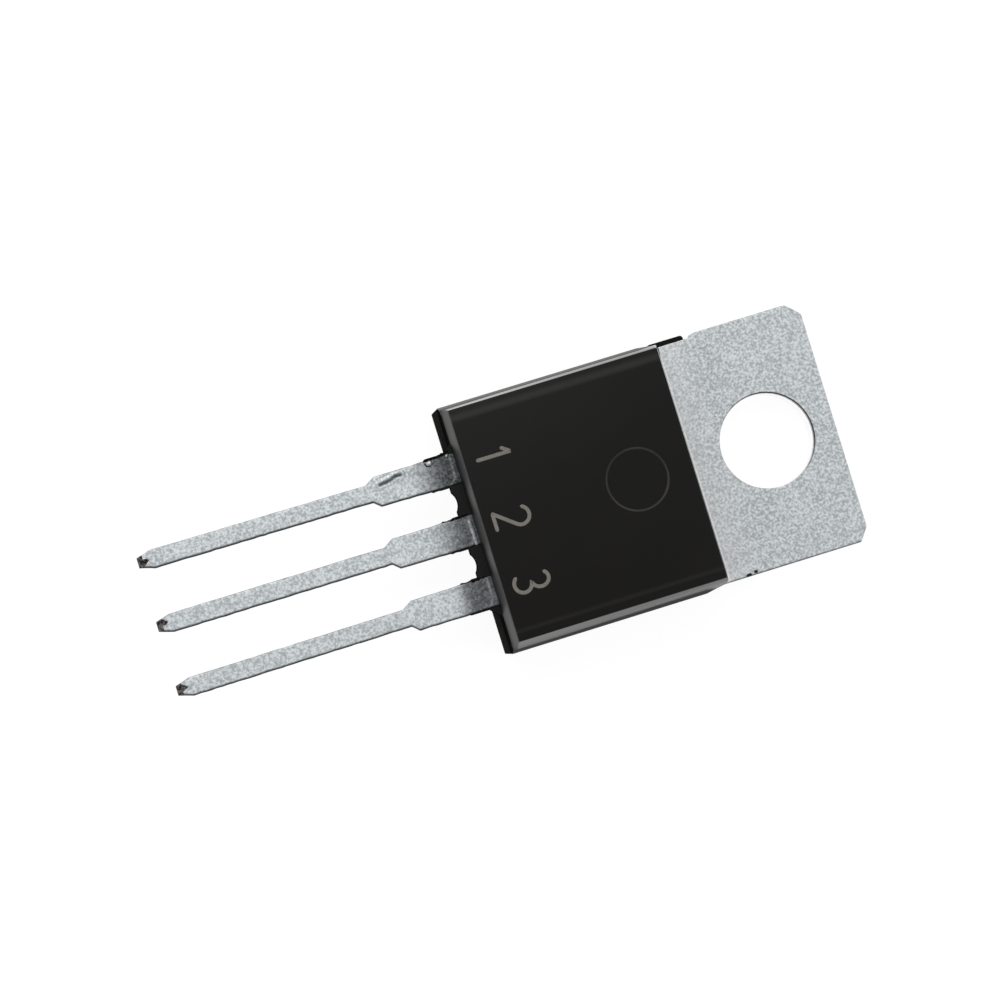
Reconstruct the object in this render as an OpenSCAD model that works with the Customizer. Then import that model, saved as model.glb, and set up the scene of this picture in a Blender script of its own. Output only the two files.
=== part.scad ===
// Three-lead voltage regulator in a flat moulded package with a fixing tab.
// Millimetres. The origin is on the axis of the fixing hole, on the back of the tab.
// +X runs to the tab's free end, +Y to the input lead's side and +Z out of the marked face.

/* [Tab] */
// Width of the metal tab
tab_w = 10.08; // [9.8:0.02:10.3]
// Thickness of the tab and of the paddle behind it
tab_t = 1.27; // [1.15:0.01:1.39]
// From the hole's axis to the free end of the tab
tab_end = 2.87; // [2.6:0.01:3.04]
// Diameter of the fixing hole
hole_d = 3.85; // [3.6:0.05:4.1]
// Corner cut of the free end on the input side, along the tab
cut_in_x = 0.56; // [0.3:0.01:1]
// Corner cut of the free end on the input side, across the tab
cut_in_y = 0.52; // [0.3:0.01:1]
// Corner cut of the free end on the output side, along the tab
cut_out_x = 0.39; // [0.3:0.01:1]
// Corner cut of the free end on the output side, across the tab
cut_out_y = 0.55; // [0.3:0.01:1]
// Rounding between those cuts and the free end
corner_r = 0.3; // [0.1:0.01:0.4]
// From the hole's axis back to where the tab narrows to its waist
waist_x = 1.62; // [1.4:0.02:1.9]
// How far the waist is cut in on the input side
waist_in = 0.14; // [0.06:0.01:0.16]
// How far the lower half of the waist is cut in on the output side
waist_out = 0.06; // [0.04:0.01:0.16]
// Length of the slopes down to the waist
waist_slope = 0.06; // [0.03:0.01:0.15]

/* [Paddle under the body] */
// From the free end of the tab to the end of the paddle
pad_l = 12.6; // [12.2:0.05:12.9]
// Width of the metal that shows on the back of the body
pad_w = 8; // [7:0.1:8.4]
// How far the paddle's flange stands out past that metal on each side
flange = 0.3; // [0.1:0.05:0.4]
// Height at which the flange begins
flange_h = 0.64; // [0.4:0.02:0.8]

/* [Moulded body] */
// From the back of the tab to the front face
body_h = 4.52; // [4.2:0.02:4.8]
// Length of the front face, along the leads
front_l = 8.66; // [8.4:0.02:9]
// Width of the front face
front_w = 9.48; // [9.2:0.01:9.7]
// How far the front face sits off the middle, to the input side
front_y = 0.01; // [-0.04:0.01:0.04]
// From the hole's axis to the front face
front_x = 3.73; // [3.6:0.01:3.9]
// Height of the line where the halves of the mould met, level with the leads' front faces
part_h = 2.86; // [2.6:0.02:3]
// Draft of the wall at the tab, degrees
draft_tab = 10; // [7:0.1:11]
// Draft above that line of the wall on the input side, degrees
draft_up = 6.6; // [4:0.1:8]
// Draft above that line of the wall at the leads, degrees
draft_lead = 4.4; // [3:0.1:7]
// Draft above that line of the wall on the output side, degrees
draft_out = 11.2; // [8:0.1:13]
// Draft of the walls below that line, degrees
draft_low = 0.5; // [0.2:0.1:2]
// Width of the ledge that the mould left along the leads' end and both long sides
ledge = 0.09; // [0.04:0.01:0.14]
// How far that ledge slopes down to its outer edge
ledge_drop = 0.05; // [0.02:0.01:0.1]
// Rounding of the front face's edges
edge_r = 0.07; // [0.03:0.01:0.12]
// How far the input side slants in towards the tab
relief_in = 0.14; // [0.05:0.01:0.25]
// Length of that slant
relief_in_l = 1.1; // [0.6:0.05:1.2]
// How far the output side slants in towards the tab
relief_out = 0.15; // [0.05:0.01:0.25]
// Length of that slant
relief_out_l = 0.75; // [0.6:0.05:1.2]
// Size of the corner that is cut off past it, above the tab
nick = 0.53; // [0.4:0.01:0.55]
// Diameter of the round mark that the ejector pin left
mark_d = 2.46; // [1.5:0.02:3]
// Depth of that mark
mark_t = 0.05; // [0.02:0.01:0.1]
// From the front face's edge by the tab to the middle of that mark
mark_in = 2.27; // [2:0.01:4]
// How far the moulding reaches along the tab's waist, past the wall over the tab
key_l = 1.1; // [0.8:0.05:1.2]
// How far that moulding stands proud of the tab's edges
key_out = 0.04; // [0.02:0.01:0.08]
// How far behind the wall over the tab it begins
key_in = 0.47; // [0.15:0.01:0.6]
// Rounding of its ends
key_r = 0.12; // [0.05:0.01:0.2]
// How far the web of moulding between two leads reaches out beside them
web = 0.4; // [0.35:0.01:0.6]
// Width of the bite that broke out of each web
bite_w = 0.76; // [0.4:0.02:0.9]
// Depth of that bite
bite_t = 0.13; // [0.05:0.01:0.25]
// Size of the corners that the moulding fills beside the outer leads
fillet = 0.3; // [0.15:0.01:0.5]
// Length of the thin flash left along the leads' edges
flash_l = 1.05; // [0.7:0.01:1.4]
// Thickness of that flash on the input side of each lead
flash_in = 0.09; // [0.05:0.01:0.12]
// Thickness of that flash on the output side of each lead
flash_out = 0.05; // [0.03:0.01:0.12]

/* [Leads] */
// Distance between the leads' centre lines at the body
pitch = 2.54; // [2.5:0.01:2.6]
// Thickness of the leads
lead_t = 0.5; // [0.46:0.01:0.6]
// Length of the leads outside the body
lead_l = 13.04; // [12.7:0.01:14.2]
// Width of each lead next to the body
wide_w = 1.24; // [1.15:0.01:1.4]
// Length of that wide part outside the body
wide_l = 3.19; // [3.1:0.01:4]
// Width of each lead beyond the wide part
slim_w = 0.75; // [0.64:0.01:0.88]
// Length of the slope between both widths on the input side
slope_in = 0.4; // [0.2:0.01:0.6]
// Length of the slope between both widths on the output side
slope_out = 0.28; // [0.2:0.01:0.6]
// How far the tips of the outer leads have spread from the grid
spread = 0.08; // [0:0.01:0.12]
// Width of the leads' cut ends
tip_w = 0.4; // [0.3:0.01:0.6]
// Length over which the leads narrow to those ends
tip_l = 0.58; // [0.4:0.01:0.9]
// Length of the slope that the cutter left on the front of each end
tip_slope_l = 0.22; // [0.1:0.01:0.4]
// Drop of that slope
tip_slope_h = 0.34; // [0.1:0.01:0.36]
// Length of the torn hollow in that slope
tear_l = 0.46; // [0.3:0.01:0.55]
// Radius of the torn hollow
tear_r = 0.2; // [0.1:0.01:0.3]
// Steepness of the torn hollow, degrees
tear_a = 35; // [20:1:40]
// From the body to the middle of the dent in the input lead
dent_x = 2.59; // [2.4:0.01:2.7]
// How far that dent lies off the lead's centre line, to the input side
dent_y = 0.29; // [0.1:0.01:0.35]
// Length of the dent
dent_l = 0.85; // [0.6:0.01:0.9]
// Width of the dent
dent_w = 0.08; // [0.05:0.01:0.12]
// Depth of the dent
dent_t = 0.05; // [0.02:0.01:0.08]
// Slant of the dent, degrees
dent_a = 13; // [5:1:20]

/* [Leads inside the body] */
// Inner radius of both bends of the centre lead
bend_r = 0.3; // [0.2:0.02:0.5]
// Steepness of the centre lead between its bends, degrees
bend_a = 55; // [45:1:70]
// Straight length of the centre lead before its first bend
bend_start = 0.25; // [0.1:0.05:0.4]
// From the wall to the inner end of the outer leads' posts
post_l = 2.25; // [2:0.05:2.5]
// Length of the wide landing on each post
post_pad_l = 1.5; // [1.2:0.05:1.6]
// How far each landing reaches past the lead's edge towards the side wall
post_side = 0.5; // [0.3:0.05:0.7]
// How far each landing reaches past the lead's edge towards the centre lead
post_inner = 0.55; // [0.3:0.05:0.6]
// Diameter of the hole that the moulding grips in each landing
lock_d = 0.6; // [0.4:0.05:0.8]

/* [Chip] */
// Length of the chip, along the leads
die_l = 2.2; // [1.8:0.05:2.6]
// Width of the chip
die_w = 2; // [1.8:0.05:2.6]
// Thickness of the chip
die_t = 0.3; // [0.2:0.01:0.4]
// From the paddle's end to the middle of the chip
die_in = 2.3; // [1.8:0.05:3]
// Thickness of the solder under the chip
solder_t = 0.05; // [0.03:0.01:0.08]
// How far the solder shows around the chip
solder_out = 0.06; // [0.03:0.01:0.1]
// Diameter of the bond wires
wire_d = 0.25; // [0.2:0.01:0.3]
// Length of the pressed foot at each end of a wire
foot_l = 0.44; // [0.35:0.01:0.5]
// From the chip's edges to the middles of its bond pads
bond_in = 0.4; // [0.35:0.01:0.5]
// How far the output wire's pad lies in from the sense wire's, across the chip
pad_gap = 0.45; // [0.4:0.01:0.55]
// Distance between the two wires that share a landing
wire_gap = 0.6; // [0.45:0.01:0.7]
// From the inner edge of a landing to the middle of the nearest wire
landing_in = 0.38; // [0.3:0.01:0.45]
// How far past the chip the ground wire comes down on the paddle
ground_out = 1.1; // [0.8:0.05:1.6]
// How high the long wires arch over a straight line between their ends
arch = 0.7; // [0.5:0.02:0.9]
// How high the short ground wire arches
arch_ground = 0.45; // [0.4:0.01:0.6]

/* [Hidden] */
$fn = 48;

// Walls of the body
lean_low = tan(draft_low);
upper_h = body_h - part_h;
ledge_z = part_h - ledge_drop;
lead_mid_x = -front_x - front_l - tan(draft_lead) * upper_h;
lead_wall_x = lead_mid_x - ledge;
tab_wall_x = -front_x + tan(draft_tab) * (body_h - tab_t);
face_in_y = front_w / 2 + front_y;
face_out_y = front_w / 2 - front_y;
mid_in_y = face_in_y + tan(draft_up) * upper_h;
mid_out_y = face_out_y + tan(draft_out) * upper_h;
wall_in_y = mid_in_y + ledge;
wall_out_y = mid_out_y + ledge;
nick_x = tab_wall_x - nick;
nick_y = relief_out - wall_out_y;
arc_steps = 4;

// Tab and paddle, and how far the centre lead's root runs into the paddle
key_start_x = tab_wall_x - key_in;
key_x = tab_wall_x + key_l;
pad_x = tab_end - pad_l;
neck_in = 0.5;

// Leads: the slope from the wide to the slim part, and the bend that lifts the centre lead
tip_x = lead_wall_x - lead_l;
wide_x = lead_wall_x - wide_l;
lead_z = part_h - lead_t;
bend_mid_r = bend_r + lead_t / 2;
bend_rise = part_h - tab_t;
bend_straight = (bend_rise - 2 * bend_mid_r * (1 - cos(bend_a))) / sin(bend_a);
bend_run = 2 * bend_mid_r * sin(bend_a) + bend_straight * cos(bend_a);
bend_end_x = pad_x - bend_start - bend_run;
bend_steps = 10;
post_x = lead_wall_x + post_l;
// How far to the input side of its middle each tip was torn: input, centre and output lead
tears = [-0.03, 0.1, 0.04];

// Gap between two leads
gap_w = pitch - wide_w;

// Chip and wires
die_x = pad_x + die_in;
die_z = tab_t + solder_t;
die_top = die_z + die_t;
bond_x = die_l / 2 - bond_in;
bond_y = die_w / 2 - bond_in;
foot_h = wire_d / 2;
foot_w = wire_d * 1.2;
foot_back = foot_l * 0.7;
landing_x = post_x - post_pad_l / 2;
landing_edge = pitch - wide_w / 2 - post_inner;
// Room for cutters past the faces that they cut
over = 1;

// Points of an arc in a plane from angle a0 to a1
function arc(cx, cy, r, a0, a1, steps) =
    [for (i = [0 : steps]) let (a = a0 + (a1 - a0) * i / steps) [cx + r * cos(a), cy + r * sin(a)]];

// Radius of a circle whose cap is wide across and deep
function cap_r(wide, deep) = (deep * deep + wide * wide / 4) / (2 * deep);

// A corner b between points a and c, rounded to radius r
function round_corner(a, b, c, r) =
    let (u = (a - b) / norm(a - b), v = (c - b) / norm(c - b), half = acos(u * v) / 2,
        reach = r / tan(half), mid = b + (u + v) / norm(u + v) * r / sin(half),
        p = b + u * reach, q = b + v * reach, a0 = atan2(p[1] - mid[1], p[0] - mid[0]),
        turn = atan2(q[1] - mid[1], q[0] - mid[0]) - a0,
        sweep = turn > 180 ? turn - 360 : turn < -180 ? turn + 360 : turn)
    arc(mid[0], mid[1], r, a0, a0 + sweep, arc_steps);

// Outline of the body from its side: X across, Z up
function side_profile() =
    let (lead_top = [-front_x - front_l, body_h], tab_top = [-front_x, body_h],
        lead_mid = [lead_mid_x, part_h], tab_low = [tab_wall_x, tab_t])
    concat([[lead_wall_x + lean_low * ledge_z, 0], [lead_wall_x, ledge_z], lead_mid],
        round_corner(lead_mid, lead_top, tab_top, edge_r),
        round_corner(lead_top, tab_top, tab_low, edge_r),
        [tab_low, [tab_wall_x, 0]]);

// One half of the body's outline from its end, Y across and Z up: face_y is where the front
// face ends, and mid_y and wall_y are the inner and outer edge of the ledge
function end_profile_half(face_y, mid_y, wall_y) =
    let (top = [face_y, body_h], mid = [mid_y, part_h])
    concat([[wall_y - lean_low * ledge_z, 0], [wall_y, ledge_z], mid],
        round_corner(mid, top, [0, body_h], edge_r));

function mirrored(points) = [for (i = [len(points) - 1 : -1 : 0]) [-points[i][0], points[i][1]]];

// Outline of the body from the front, with both sides slanting in towards the tab
function plan_profile() =
    let (start_out = nick_x - relief_out_l, start_in = tab_wall_x - relief_in_l,
        end = tab_wall_x + over, end_y = wall_in_y - relief_in)
    [[lead_wall_x - over, -wall_out_y - over], [start_out, -wall_out_y - over],
        [start_out, -wall_out_y], [nick_x, nick_y], [end, nick_y], [end, end_y], [tab_wall_x, end_y],
        [start_in, wall_in_y], [start_in, wall_in_y + over], [lead_wall_x - over, wall_in_y + over]];

// Outline of the tab and paddle: the tab's sides run back to in_x and out_x, the output side is
// cut in at the waist where waisted is true, and half_w is half the paddle's width
function tab_outline(in_x, out_x, half_w, waisted) =
    let (w = tab_w / 2, waist_start = -waist_x - waist_slope,
        out_a = [tab_end - cut_out_x, -w], out_b = [tab_end, cut_out_y - w],
        in_b = [tab_end, w - cut_in_y], in_a = [tab_end - cut_in_x, w])
    concat(round_corner(out_a, out_b, in_b, corner_r), round_corner(out_b, in_b, in_a, corner_r),
        [in_a, [-waist_x, w], [waist_start, w - waist_in], [in_x, w - waist_in], [in_x, half_w],
            [pad_x, half_w], [pad_x, -half_w], [out_x, -half_w]],
        waisted ? [[out_x, waist_out - w], [waist_start, waist_out - w], [-waist_x, -w]]
            : [[out_x, -w]],
        [out_a]);

// Outside of a lead from its tip to inner_x; side is 1, 0 or -1, the way that its tip has spread
function lead_outline(side, inner_x) =
    let (y = side * pitch, s = side * spread / lead_l, w = wide_w / 2, n = slim_w / 2, t = tip_w / 2,
        raw = [[inner_x, -w], [lead_wall_x, -w], [wide_x, -w], [wide_x - slope_out, -n],
            [tip_x + tip_l, -n], [tip_x, -t], [tip_x, t], [tip_x + tip_l, n],
            [wide_x - slope_in, n], [wide_x, w], [lead_wall_x, w], [inner_x, w]])
    [for (p = raw) [p[0], p[1] + y + s * max(0, lead_wall_x - p[0])]];

// Side view of the centre lead's rise from the paddle to the other leads' height
function bend_profile() =
    let (a = pad_x - bend_start, inner = bend_r, outer = bend_r + lead_t,
        low = tab_t + bend_r, high = lead_z - bend_r)
    concat([[pad_x + neck_in, tab_t]],
        arc(a, low, inner, 270, 270 - bend_a, bend_steps),
        arc(bend_end_x, high, outer, 90 - bend_a, 90, bend_steps),
        [[lead_wall_x, part_h], [lead_wall_x, lead_z]],
        arc(bend_end_x, high, inner, 90, 90 - bend_a, bend_steps),
        arc(a, low, outer, 270 - bend_a, 270, bend_steps),
        [[pad_x + neck_in, tab_t - lead_t]]);

// Cuts the sheared and torn end of one lead; k picks the lead and y is its centre at the tip
module tip_cut(k, y) {
    translate([tip_x + tip_slope_l, y, part_h])
        rotate([0, -atan(tip_slope_h / tip_slope_l), 0])
            translate([-over, -over, 0]) cube([over, 2 * over, over]);
    translate([tip_x + tear_l - tear_r * sin(tear_a), y + tears[k], part_h + tear_r * cos(tear_a)])
        rotate([0, -90 - tear_a, 0])
            translate([0, 0, -over / 2]) cylinder(r = tear_r, h = 2 * over);
}

// The part of a lead that is flat and level with the parting line
module flat_lead(k, side, inner_x) {
    difference() {
        translate([0, 0, lead_z]) linear_extrude(lead_t) polygon(lead_outline(side, inner_x));
        tip_cut(k, side * (pitch + spread));
    }
}

// A side lead with the landing that its wires are bonded to
module side_lead(k, side) {
    difference() {
        union() {
            flat_lead(k, side, landing_x);
            translate([post_x - post_pad_l, side * landing_edge, lead_z])
                mirror([0, side < 0 ? 1 : 0, 0])
                    cube([post_pad_l, wide_w + post_inner + post_side, lead_t]);
        }
        translate([landing_x, side * (pitch + wide_w / 2), lead_z - over])
            cylinder(d = lock_d, h = lead_t + 2 * over);
    }
}

// A bond wire from pad point a to pad point b: an arch between two pressed feet
module bond_wire(a, b, rise) {
    d = b - a;
    flat = norm([d[0], d[1]]);
    chord = norm(d);
    tilt = atan2(d[2], flat);
    half = 2 * atan(2 * rise / chord);
    r = chord / (2 * sin(half));
    translate(a) rotate([0, 0, atan2(d[1], d[0])]) {
        translate([0, 0, foot_h]) rotate([90, 0, 0])
            translate([chord / 2 * cos(tilt) + (r - rise) * sin(tilt),
                chord / 2 * sin(tilt) - (r - rise) * cos(tilt), 0])
                rotate([0, 0, 90 + tilt - half])
                    rotate_extrude(angle = 2 * half) translate([r, 0]) circle(d = wire_d);
        translate([-foot_back, -foot_w / 2, 0]) cube([foot_l, foot_w, foot_h]);
        translate([flat + foot_back - foot_l, -foot_w / 2, d[2]]) cube([foot_l, foot_w, foot_h]);
    }
}

// Everything that the moulding flows around
module enclosed() {
    tab_with_ground_lead();
    input_lead();
    output_lead();
    silicon_die();
    die_attach_solder();
    input_bond_wire();
    output_bond_wire();
    sense_bond_wire();
    ground_bond_wire();
}

// The block with its drafted walls: three outlines carried through each other
module drafted_block() {
    depth = 2 * (max(wall_in_y, wall_out_y) + over);
    length = tab_wall_x - lead_wall_x + 2 * over;
    in_half = end_profile_half(face_in_y, mid_in_y, wall_in_y);
    out_half = end_profile_half(face_out_y, mid_out_y, wall_out_y);
    intersection() {
        translate([0, depth / 2, 0]) rotate([90, 0, 0])
            linear_extrude(depth) polygon(side_profile());
        translate([lead_wall_x - over, 0, 0]) rotate([90, 0, 90])
            linear_extrude(length) polygon(concat(in_half, mirrored(out_half)));
        translate([0, 0, -over]) linear_extrude(body_h + 2 * over) polygon(plan_profile());
    }
}

// What is cut off the corner beside the tab on the output side, above the tab
module corner_cut() {
    translate([0, 0, tab_t]) linear_extrude(body_h)
        polygon([[nick_x, nick_y], [nick_x, nick_y - over], [tab_wall_x + over, nick_y - over],
            [tab_wall_x + over, nick_y + nick + over]]);
}

// The web of moulding between two leads, as thick as they are
module webs() {
    for (side = [-1, 1])
        translate([lead_wall_x - web, side * pitch / 2 - gap_w / 2, lead_z])
            cube([web + over / 2, gap_w, lead_t]);
}

// The round bite that broke out of each web
module bites() {
    r = cap_r(bite_w, bite_t);
    for (side = [-1, 1])
        translate([lead_wall_x - web + bite_t - r, side * pitch / 2, lead_z - over])
            cylinder(r = r, h = lead_t + 2 * over, $fn = 96);
}

// The corners that the moulding fills between the wall and the outer leads
module fillets() {
    edge = pitch + wide_w / 2;
    for (side = [-1, 1])
        translate([0, 0, lead_z]) mirror([0, side < 0 ? 1 : 0, 0]) linear_extrude(lead_t)
            polygon([[lead_wall_x + over / 2, edge], [lead_wall_x - fillet, edge],
                [lead_wall_x - fillet, edge + flash_out], [lead_wall_x, edge + flash_out + fillet],
                [lead_wall_x + over / 2, edge + flash_out + fillet]]);
}

// The thin flash along both edges of each lead
module flashes() {
    ramp = flash_in;
    for (side = [-1, 0, 1])
        translate([0, side * pitch, lead_z]) linear_extrude(lead_t)
            polygon([[lead_wall_x + over / 2, -wide_w / 2 - flash_out],
                [lead_wall_x - flash_l, -wide_w / 2 - flash_out],
                [lead_wall_x - flash_l - ramp, -wide_w / 2],
                [lead_wall_x - flash_l - ramp, wide_w / 2],
                [lead_wall_x - flash_l, wide_w / 2 + flash_in],
                [lead_wall_x + over / 2, wide_w / 2 + flash_in]]);
}

// The moulding that fills the tab's waist and grips the flange: proud of the tab's edge and as
// high as the tab on the input side, hidden under the tab's upper half on the output side
module keys() {
    inner = pad_w / 2 - over / 2;
    edge = tab_w / 2 + key_out;
    linear_extrude(tab_t)
        polygon(concat([[key_start_x, inner], [key_x, inner]],
            arc(key_x - key_r, edge - key_r, key_r, 0, 90, arc_steps),
            [[key_start_x + key_r, edge], [key_start_x, edge - key_r]]));
    translate([key_start_x, waist_out - tab_w / 2, 0])
        cube([key_x - key_start_x, tab_w / 2 - waist_out - inner, flange_h]);
}

module moulded_body() {
    color("#262624") difference() {
        union() {
            drafted_block();
            webs();
            fillets();
            flashes();
            keys();
        }
        bites();
        corner_cut();
        translate([-front_x - mark_in, 0, body_h - mark_t]) cylinder(d = mark_d, h = over);
        enclosed();
    }
}

module tab_with_ground_lead() {
    color("#c3c8c9") {
        difference() {
            union() {
                linear_extrude(flange_h) polygon(tab_outline(key_x, key_x, pad_w / 2, true));
                translate([0, 0, flange_h]) linear_extrude(tab_t - flange_h)
                    polygon(tab_outline(tab_wall_x, nick_x, pad_w / 2 + flange, false));
            }
            translate([0, 0, -over]) cylinder(d = hole_d, h = tab_t + 2 * over);
        }
        translate([0, wide_w / 2, 0]) rotate([90, 0, 0]) linear_extrude(wide_w) polygon(bend_profile());
        flat_lead(1, 0, lead_wall_x + over / 2);
    }
}

// The dent that a tool left in the input lead, cut by a thin disc
module dent() {
    r = cap_r(dent_l, dent_t);
    translate([lead_wall_x - dent_x, pitch + spread * dent_x / lead_l + dent_y, part_h - dent_t + r])
        rotate([90, 0, dent_a]) cylinder(r = r, h = dent_w, center = true, $fn = 96);
}

module input_lead() {
    color("#c3c8c9") difference() {
        side_lead(0, 1);
        dent();
    }
}

module output_lead() {
    color("#c3c8c9") side_lead(2, -1);
}

module silicon_die() {
    color("#5d6670") translate([die_x - die_l / 2, -die_w / 2, die_z]) cube([die_l, die_w, die_t]);
}

module die_attach_solder() {
    color("#8f9396") translate([die_x - die_l / 2 - solder_out, -die_w / 2 - solder_out, tab_t])
        cube([die_l + 2 * solder_out, die_w + 2 * solder_out, solder_t]);
}

module input_bond_wire() {
    color("#d8d9d6") bond_wire([die_x - bond_x, bond_y, die_top],
        [landing_x, landing_edge + landing_in + wire_gap / 2, part_h], arch);
}

module output_bond_wire() {
    color("#d8d9d6") bond_wire([die_x - bond_x, pad_gap - bond_y, die_top],
        [landing_x, -landing_edge - landing_in, part_h], arch);
}

module sense_bond_wire() {
    color("#d8d9d6") bond_wire([die_x - bond_x + wire_gap, -bond_y, die_top],
        [landing_x, -landing_edge - landing_in - wire_gap, part_h], arch);
}

module ground_bond_wire() {
    color("#d8d9d6") bond_wire([die_x + bond_x, bond_y, die_top],
        [die_x + die_l / 2 + ground_out, bond_y + wire_gap, tab_t], arch_ground);
}

moulded_body();
tab_with_ground_lead();
input_lead();
output_lead();
silicon_die();
die_attach_solder();
input_bond_wire();
output_bond_wire();
sense_bond_wire();
ground_bond_wire();
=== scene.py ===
"""Looks of a three-lead voltage regulator: a black moulded body on a tinned copper tab.

Millimetres are used throughout and turned to metres where a mesh or a lamp is made. The frame is
the part's own: the origin on the axis of the fixing hole, +X to the tab's free end, +Y to the
input lead's side and +Z out of the marked face. Far means toward +Y and near toward -Y, as the
camera sees them.
"""

import math

import bmesh
import bpy
import numpy as np
from mathutils import Matrix, Vector


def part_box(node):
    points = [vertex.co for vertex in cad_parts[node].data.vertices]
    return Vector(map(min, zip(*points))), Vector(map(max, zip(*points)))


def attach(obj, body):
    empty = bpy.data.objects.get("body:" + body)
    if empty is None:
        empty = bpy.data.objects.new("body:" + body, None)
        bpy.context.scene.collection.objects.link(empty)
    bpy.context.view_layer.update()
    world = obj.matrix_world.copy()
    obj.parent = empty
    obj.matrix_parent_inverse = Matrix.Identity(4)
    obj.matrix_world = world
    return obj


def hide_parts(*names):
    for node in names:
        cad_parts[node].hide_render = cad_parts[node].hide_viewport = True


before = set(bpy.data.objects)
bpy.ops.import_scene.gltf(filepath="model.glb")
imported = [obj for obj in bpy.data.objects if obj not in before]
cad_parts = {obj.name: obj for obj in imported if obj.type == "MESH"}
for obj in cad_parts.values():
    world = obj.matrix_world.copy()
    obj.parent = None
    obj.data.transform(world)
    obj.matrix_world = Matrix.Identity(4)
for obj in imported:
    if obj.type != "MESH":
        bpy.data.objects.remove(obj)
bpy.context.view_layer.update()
MM = 0.001


def node_box(node):
    """The lowest and highest corner of a CAD node, in mm."""
    low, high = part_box(node)
    return np.array(low) / MM, np.array(high) / MM


# Places on the part, taken from the frame's own boxes, in mm
lead_low, lead_high = node_box("input_lead")
TIP_X = lead_low[0]
LEAD_LOW, LEAD_TOP = lead_low[2], lead_high[2]
FACE_TOP = node_box("moulded_body")[1][2]

# Sizes that the dress needs and that no box gives, in mm
PITCH = 2.54
LEAD_WALL_X = -12.608
TAB_WALL_X = -3.157
FACE_START_X = -12.39
HOLE_R = 1.925
MARK_X = -6.0
MARK_R = 1.23
TAB_HALF_W = 5.04
TAB_TOP = 1.27
BODY_ROUND = 0.05
METAL_ROUND = 0.055

# Copies of the CAD's own forms, in mm. Points nearer than MERGED become one, edges shorter than the
# two lengths stay sharp, and what lies within AT_WALL of a wall is at it. The moulding's edges inside
# the INNER sizes aren't rounded. The metal's are rounded from TAB_EDGE_BACK behind the tab wall on.
# The lead end is torn where it lies more than TORN_DEPTH below the leads' tops.
MERGED = 1e-4
METAL_EDGE_L, BODY_EDGE_L = 0.15, 0.3
AT_WALL = 0.05
INNER_HALF_W, INNER_DEPTH, INNER_BACK = 4.5, 0.1, 0.5
TAB_EDGE_BACK, TORN_DEPTH = 0.3, 0.02

# Angles in degrees: two faces within the first are one flat face, and an edge past the others is
# shaded as sharp, or rounded
FLAT_ANGLE, SHARP_ANGLE, ROUNDED_ANGLE = 0.3, 30, 38

# The leads outside the body, in mm, and the angle of the torn V, in degrees
LEAD_CUT_X = -12.4
LEAD_L = 13.04
LEAD_WIDE = 1.24
LEAD_SLIM = 0.75
WIDE_X = -15.798
SLOPE_FAR, SLOPE_NEAR = 0.4, 0.28
SPREAD = 0.08
TIP_W, TIP_TAPER = 0.4, 0.58
TIP_SLOPE_L, TIP_SLOPE_H = 0.22, 0.34
TEAR_L, TEAR_R, TEAR_ANGLE = 0.46, 0.2, 35
TEAR_RISE, TEAR_BOWL = 0.55, 0.5
ROLL_NEAR, ROLL_FAR = 0.1, 0.05
GRIP_END_X, GRIP_FULL_X, WEB_GRIP = -14.3, -13.9, 0.018

# Stations along a lead, in mm: the steps where its form changes, and how far those stretches reach
FINE_STEP, SLOPE_STEP = 0.02, 0.04
TIP_REACH, ROOT_REACH, SLOPE_BEFORE, SLOPE_AFTER = 0.66, 2, 0.6, 0.3

# How much painted shade a lead's rolled near corner gets and how fast it gets so, and how much its
# far corner and its near wall get
NEAR_DARK, NEAR_RISE, FAR_DARK, WALL_DARK = 0.95, 1.5, 0.3, 0.25

# The painted highlight along a lead's root: its place and spread, how far off the middle it starts to
# turn away, over what width, and by how much, in mm, and how strong it is
ROOT_X, ROOT_SPREAD = -12.69, 0.045
TURN_FROM, TURN_OVER, TURN_BY = 0.2, 0.4, 0.3
ROOT_HIGHLIGHT = 0.42

# What the cutter took at least this much of, in mm, is bare copper
BARE_DEPTH = 0.004

# The dent in the input lead: its route, its groove with its painted shade, and the lip beside it, in mm
DENT = ((-15.64, 2.78), (-15.2, 2.84), (-14.97, 2.94), (-14.74, 2.93))
DENT_START_X, DENT_END_X = -15.75, -14.65
DENT_DEPTH, DENT_SPREAD = 0.05, 0.05
DENT_SHADE, DENT_SHADE_SPREAD = 0.85, 0.055
LIP_AWAY, LIP_SPREAD, LIP_FAR, LIP_NEAR = 0.12, 0.06, 0.04, 0.014


# Small tools

def linear(hex_colour):
    """An sRGB hex colour as linear red, green, blue and full alpha."""
    srgb = np.array([int(hex_colour[i:i + 2], 16) for i in (1, 3, 5)]) / 255
    rgb = np.where(srgb <= 0.04045, srgb / 12.92, ((srgb + 0.055) / 1.055) ** 2.4)
    return (*rgb.tolist(), 1.0)


def feed(tree, node, inputs):
    """Gives a node's sockets their values, or links them to the outputs that are given."""
    for socket, value in inputs.items():
        if isinstance(value, bpy.types.NodeSocket):
            tree.links.new(value, node.inputs[socket])
        else:
            node.inputs[socket].default_value = value


def add(tree, kind, inputs=None, **settings):
    """Adds one shader node with its settings, and feeds its inputs."""
    made = tree.nodes.new(kind)
    for name, value in settings.items():
        setattr(made, name, value)
    feed(tree, made, inputs or {})
    return made


def start_material(name):
    """A new node material: itself, its tree, its shader and its Object coordinates."""
    material = bpy.data.materials.new(name)
    material.use_nodes = True
    tree = material.node_tree
    place = add(tree, "ShaderNodeTexCoord").outputs["Object"]
    return material, tree, tree.nodes["Principled BSDF"], place


def show(name, data):
    """Puts a mesh, a lamp or a camera into the scene as an object."""
    made = bpy.data.objects.new(name, data)
    bpy.context.scene.collection.objects.link(made)
    return made


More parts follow.
